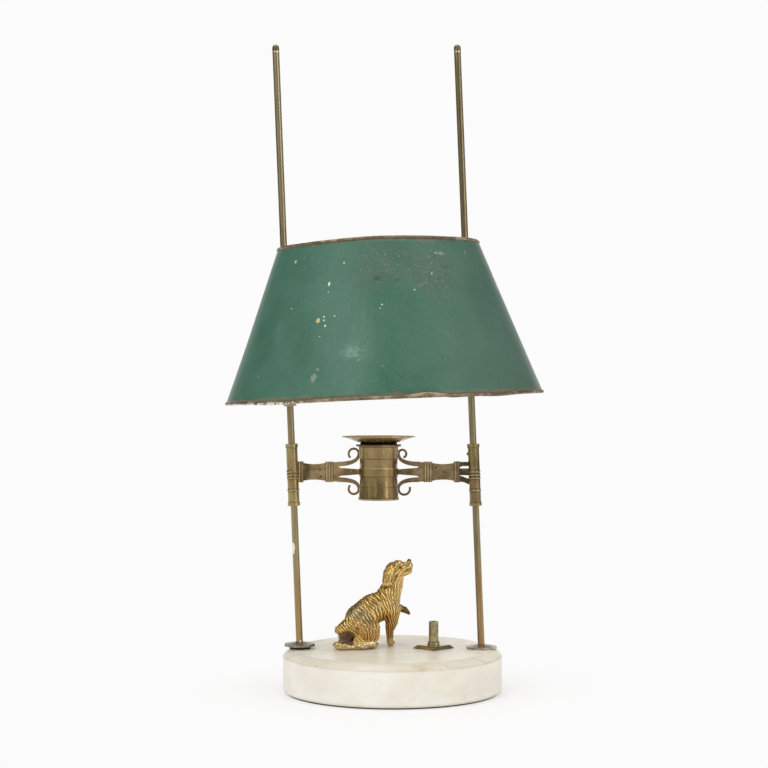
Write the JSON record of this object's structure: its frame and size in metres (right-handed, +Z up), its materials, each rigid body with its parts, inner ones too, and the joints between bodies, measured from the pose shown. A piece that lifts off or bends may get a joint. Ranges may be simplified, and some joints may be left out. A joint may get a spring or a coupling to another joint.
{
  "type": "reading candle holder",
  "caption": "Desk candlestick with a sliding green metal shade and a sliding candle socket on twin leaning rods, on a round marble base with a gilt sitting dog.",
  "frame": {"origin": "middle of the base's underside, on the table", "axes": "+Z up, +X to the right as seen from the front, -Y towards the viewer"},
  "size_m": [0.2416, 0.2418, 0.491],
  "materials": {
    "marble": "polished white marble with warm stains",
    "baize": "dark olive baize",
    "rod_brass": "aged brass with a dull patina",
    "bright_brass": "bright rubbed brass",
    "brown_brass": "dark brown brass",
    "gilt": "worn gilding with dark hollows",
    "plinth_brass": "aged brass",
    "slide_brass": "dark aged brass",
    "bush_brass": "worn brass",
    "spring_steel": "spring steel",
    "pan_brass": "coppery brown brass",
    "green_paint": "worn green paint on sheet metal",
    "rim_brass": "worn brown brass",
    "guide_metal": "pale worn paint on sheet metal"
  },
  "bodies": {
    "stand": {"marble_base": "marble", "base_baize": "baize", "rod_left": "rod_brass", "rod_right": "rod_brass", "finial_left": "rod_brass", "finial_right": "rod_brass", "finial_collars": "bright_brass", "rosette_left": "rod_brass", "rosette_right": "rod_brass", "foot_washer_left": "brown_brass", "rod_washers": "brown_brass", "rod_nuts": "rod_brass", "dog_figure": "gilt", "dog_stud": "rod_brass", "dog_nut": "rod_brass", "plinth_plate": "plinth_brass", "plinth_tube": "plinth_brass", "plinth_nut": "rod_brass"},
    "candle_slide": {"sleeve_left": "slide_brass", "sleeve_right": "slide_brass", "sleeve_bushes": "bush_brass", "sleeve_springs": "spring_steel", "sleeve_rivets": "slide_brass", "arm_left": "slide_brass", "arm_right": "slide_brass", "arm_rivets": "brown_brass", "socket_tube": "slide_brass", "socket_band": "slide_brass", "socket_floor": "slide_brass"},
    "drip_pan": {"drip_pan": "pan_brass", "pan_nozzle": "pan_brass"},
    "shade": {"shade_shell": "green_paint", "shade_top_wire": "rim_brass", "shade_bottom_wire": "rim_brass", "shade_seam": "green_paint", "guide_left": "guide_metal", "guide_right": "guide_metal", "guide_bushes": "bush_brass", "guide_springs": "spring_steel", "guide_rivets": "guide_metal", "guide_lugs": "guide_metal", "guide_stays": "guide_metal"}
  },
  "joints": [
    {"name": "candle_slide", "type": "slide", "parent": "stand", "child": "candle_slide", "axis": [-0.0401, 0, 0.9992], "range_m": [-0.042, 0.015]},
    {"name": "pan_lift", "type": "slide", "parent": "candle_slide", "child": "drip_pan", "axis": [0, 0, 1], "range_m": [0, 0.03]},
    {"name": "shade_slide", "type": "slide", "parent": "stand", "child": "shade", "axis": [-0.0401, 0, 0.9992], "range_m": [-0.013, 0.145]}
  ]
}
